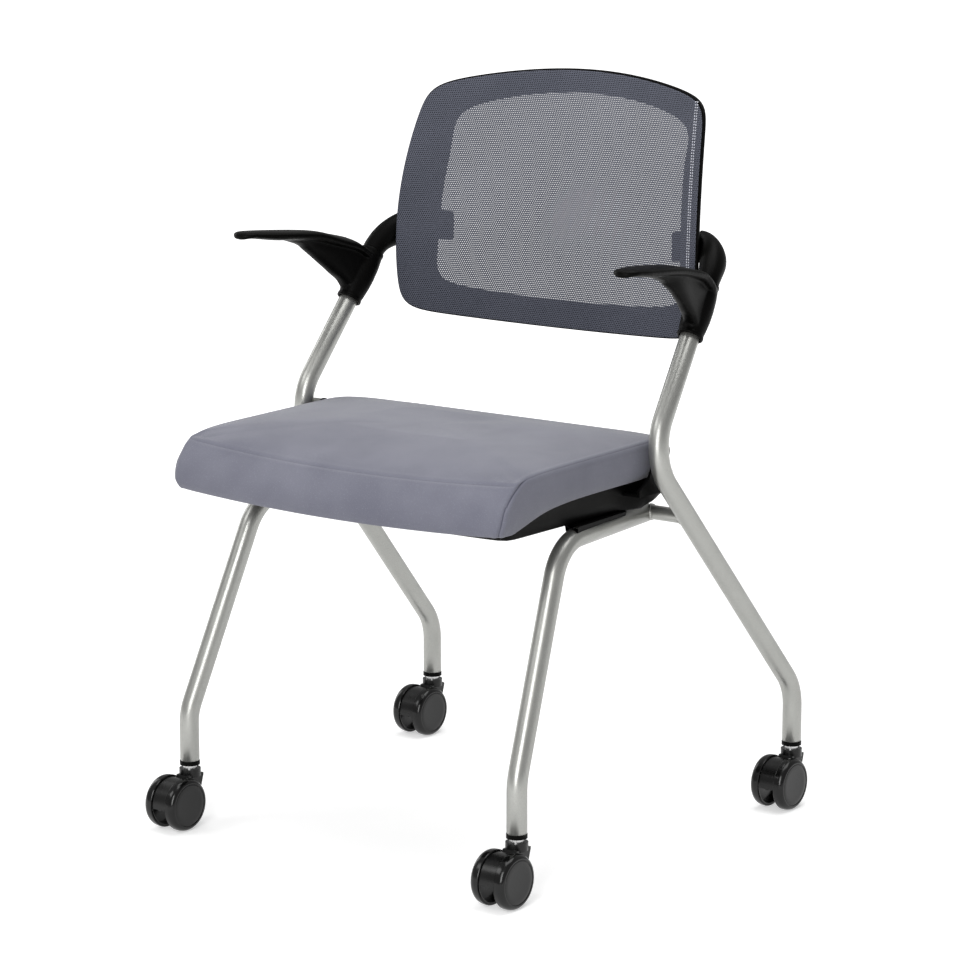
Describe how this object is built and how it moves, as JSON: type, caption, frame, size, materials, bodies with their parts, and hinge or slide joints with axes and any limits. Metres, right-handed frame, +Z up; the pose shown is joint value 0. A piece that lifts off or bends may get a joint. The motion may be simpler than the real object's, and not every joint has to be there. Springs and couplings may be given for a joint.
{
  "type": "nesting chair",
  "caption": "Nesting chair with bent-tube legs on casters, a mesh back, arm pads and a padded seat that flips up.",
  "frame": {"origin": "on the floor, below the centre of the chair's overall box", "axes": "+Z up, -Y the way a sitter faces, +X to the sitter's left"},
  "size_m": [0.573, 0.5522, 0.838],
  "materials": {
    "silver_coat": "satin silver powder coat",
    "black_plastic": "fine-grained black moulding",
    "black_coat": "satin black coat",
    "steel": "bright zinc plate",
    "stem_steel": "bright plate",
    "seat_fabric": "woven blue-grey cloth over foam",
    "back_net": "open blue-grey knit",
    "plywood": "plain plywood",
    "caster_plastic": "glossy black nylon",
    "wheel_plastic": "glossy black nylon"
  },
  "bodies": {
    "frame": {"side_tube_left": "silver_coat", "side_tube_right": "silver_coat", "front_leg_left": "silver_coat", "front_leg_right": "silver_coat", "cross_bar": "silver_coat", "pivot_boss_left": "silver_coat", "pivot_boss_right": "silver_coat", "hinge_bushes": "black_plastic", "arm_left": "black_plastic", "arm_right": "black_plastic", "arm_screws": "black_coat", "back_support_left": "black_plastic", "back_support_right": "black_plastic", "back_frame": "black_plastic", "back_mesh": "back_net", "back_screws": "black_coat", "rail_rests": "black_plastic", "front_left_socket": "black_plastic", "front_right_socket": "black_plastic", "rear_left_socket": "black_plastic", "rear_right_socket": "black_plastic"},
    "seat": {"seat_cushion": "seat_fabric", "seat_board": "plywood", "seat_pan": "black_plastic", "hinge_bracket_left": "black_coat", "hinge_bracket_right": "black_coat", "hinge_pins": "steel", "bracket_screws": "steel", "pan_screws": "steel"},
    "front_left_caster": {"front_left_stem": "stem_steel", "front_left_hood": "caster_plastic", "front_left_axle": "steel"},
    "front_left_inner": {"front_left_inner_wheel": "wheel_plastic"},
    "front_left_outer": {"front_left_outer_wheel": "wheel_plastic"},
    "front_right_caster": {"front_right_stem": "stem_steel", "front_right_hood": "caster_plastic", "front_right_axle": "steel"},
    "front_right_inner": {"front_right_inner_wheel": "wheel_plastic"},
    "front_right_outer": {"front_right_outer_wheel": "wheel_plastic"},
    "rear_left_caster": {"rear_left_stem": "stem_steel", "rear_left_hood": "caster_plastic", "rear_left_axle": "steel"},
    "rear_left_inner": {"rear_left_inner_wheel": "wheel_plastic"},
    "rear_left_outer": {"rear_left_outer_wheel": "wheel_plastic"},
    "rear_right_caster": {"rear_right_stem": "stem_steel", "rear_right_hood": "caster_plastic", "rear_right_axle": "steel"},
    "rear_right_inner": {"rear_right_inner_wheel": "wheel_plastic"},
    "rear_right_outer": {"rear_right_outer_wheel": "wheel_plastic"}
  },
  "joints": [
    {"name": "seat_flip", "type": "hinge", "parent": "frame", "child": "seat", "pos_m": [0, 0.0243, 0.448], "axis": [-1, 0, 0], "range_deg": [0, 80]},
    {"name": "front_left_swivel", "type": "hinge", "parent": "frame", "child": "front_left_caster", "pos_m": [0.2315, -0.2207, 0.07], "axis": [0, 0, 1], "continuous": true},
    {"name": "front_left_inner_roll", "type": "hinge", "parent": "front_left_caster", "child": "front_left_inner", "pos_m": [0.2155, -0.2457, 0.03], "axis": [1, 0, 0], "continuous": true},
    {"name": "front_left_outer_roll", "type": "hinge", "parent": "front_left_caster", "child": "front_left_outer", "pos_m": [0.2475, -0.2457, 0.03], "axis": [1, 0, 0], "continuous": true},
    {"name": "front_right_swivel", "type": "hinge", "parent": "frame", "child": "front_right_caster", "pos_m": [-0.2315, -0.2207, 0.07], "axis": [0, 0, 1], "continuous": true},
    {"name": "front_right_inner_roll", "type": "hinge", "parent": "front_right_caster", "child": "front_right_inner", "pos_m": [-0.2155, -0.2457, 0.03], "axis": [1, 0, 0], "continuous": true},
    {"name": "front_right_outer_roll", "type": "hinge", "parent": "front_right_caster", "child": "front_right_outer", "pos_m": [-0.2475, -0.2457, 0.03], "axis": [1, 0, 0], "continuous": true},
    {"name": "rear_left_swivel", "type": "hinge", "parent": "frame", "child": "rear_left_caster", "pos_m": [0.2645, 0.2643, 0.07], "axis": [0, 0, 1], "continuous": true},
    {"name": "rear_left_inner_roll", "type": "hinge", "parent": "rear_left_caster", "child": "rear_left_inner", "pos_m": [0.2485, 0.2393, 0.03], "axis": [1, 0, 0], "continuous": true},
    {"name": "rear_left_outer_roll", "type": "hinge", "parent": "rear_left_caster", "child": "rear_left_outer", "pos_m": [0.2805, 0.2393, 0.03], "axis": [1, 0, 0], "continuous": true},
    {"name": "rear_right_swivel", "type": "hinge", "parent": "frame", "child": "rear_right_caster", "pos_m": [-0.2645, 0.2643, 0.07], "axis": [0, 0, 1], "continuous": true},
    {"name": "rear_right_inner_roll", "type": "hinge", "parent": "rear_right_caster", "child": "rear_right_inner", "pos_m": [-0.2485, 0.2393, 0.03], "axis": [1, 0, 0], "continuous": true},
    {"name": "rear_right_outer_roll", "type": "hinge", "parent": "rear_right_caster", "child": "rear_right_outer", "pos_m": [-0.2805, 0.2393, 0.03], "axis": [1, 0, 0], "continuous": true}
  ]
}
